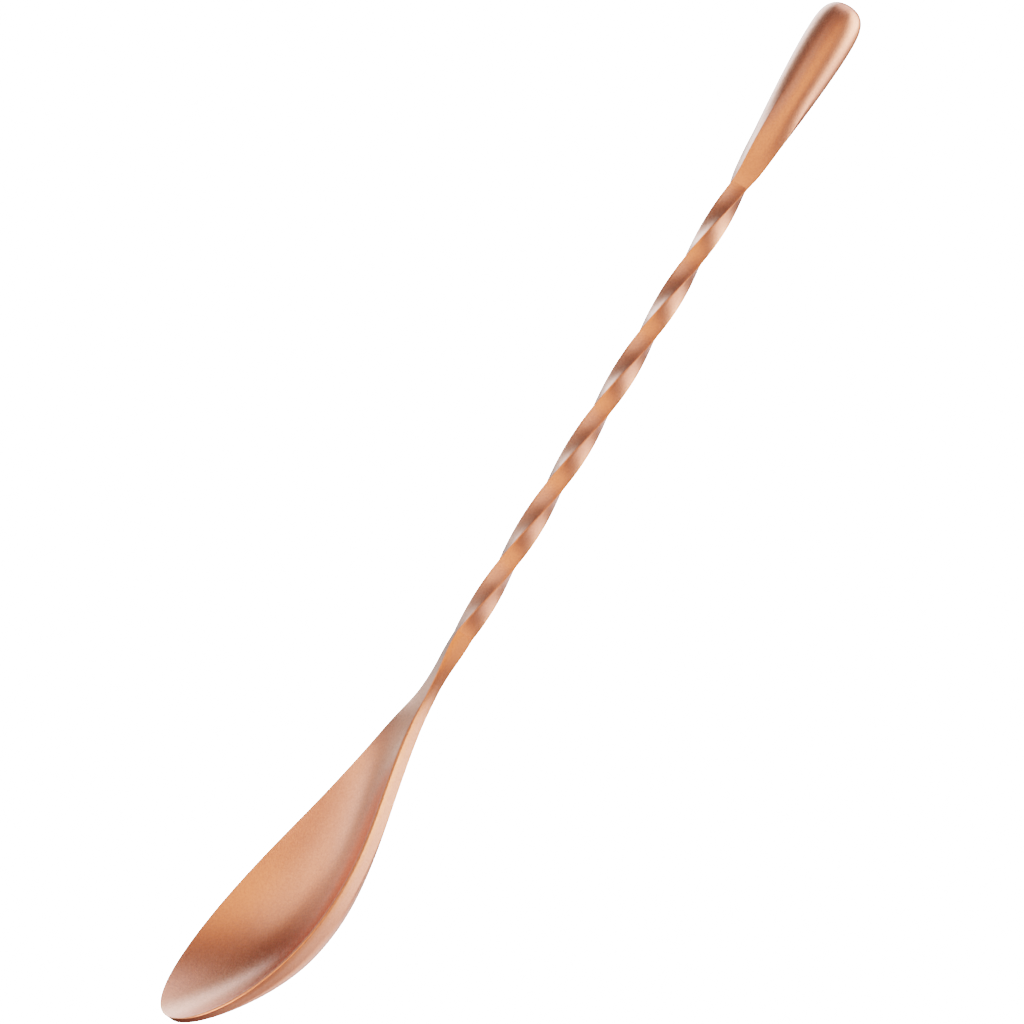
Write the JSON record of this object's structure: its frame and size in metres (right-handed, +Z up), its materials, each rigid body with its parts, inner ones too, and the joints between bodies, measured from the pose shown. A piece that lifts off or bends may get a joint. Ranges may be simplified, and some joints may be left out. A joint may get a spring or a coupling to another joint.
{
  "type": "bar spoon",
  "caption": "Long bar spoon with a deep pointed bowl, a twisted square stem and a drop-shaped end, satin copper colour; it stirs, measures and layers drinks.",
  "frame": {"origin": "centre of the spoon's bounding box, at the height of the surface it lies on", "axes": "+X along the stem towards the drop-shaped end, +Z up out of the bowl's opening, +Y across the bowl"},
  "size_m": [0.2498, 0.0274, 0.0204],
  "materials": {
    "bowl_copper": "fine bead-blasted satin, copper-coloured plating on stainless steel",
    "stem_copper": "fine bead-blasted satin, copper-coloured plating on stainless steel",
    "drop_copper": "fine bead-blasted satin, copper-coloured plating on stainless steel"
  },
  "bodies": {
    "root": {"bowl": "bowl_copper", "twisted_stem": "stem_copper", "drop_end": "drop_copper"}
  },
  "joints": []
}
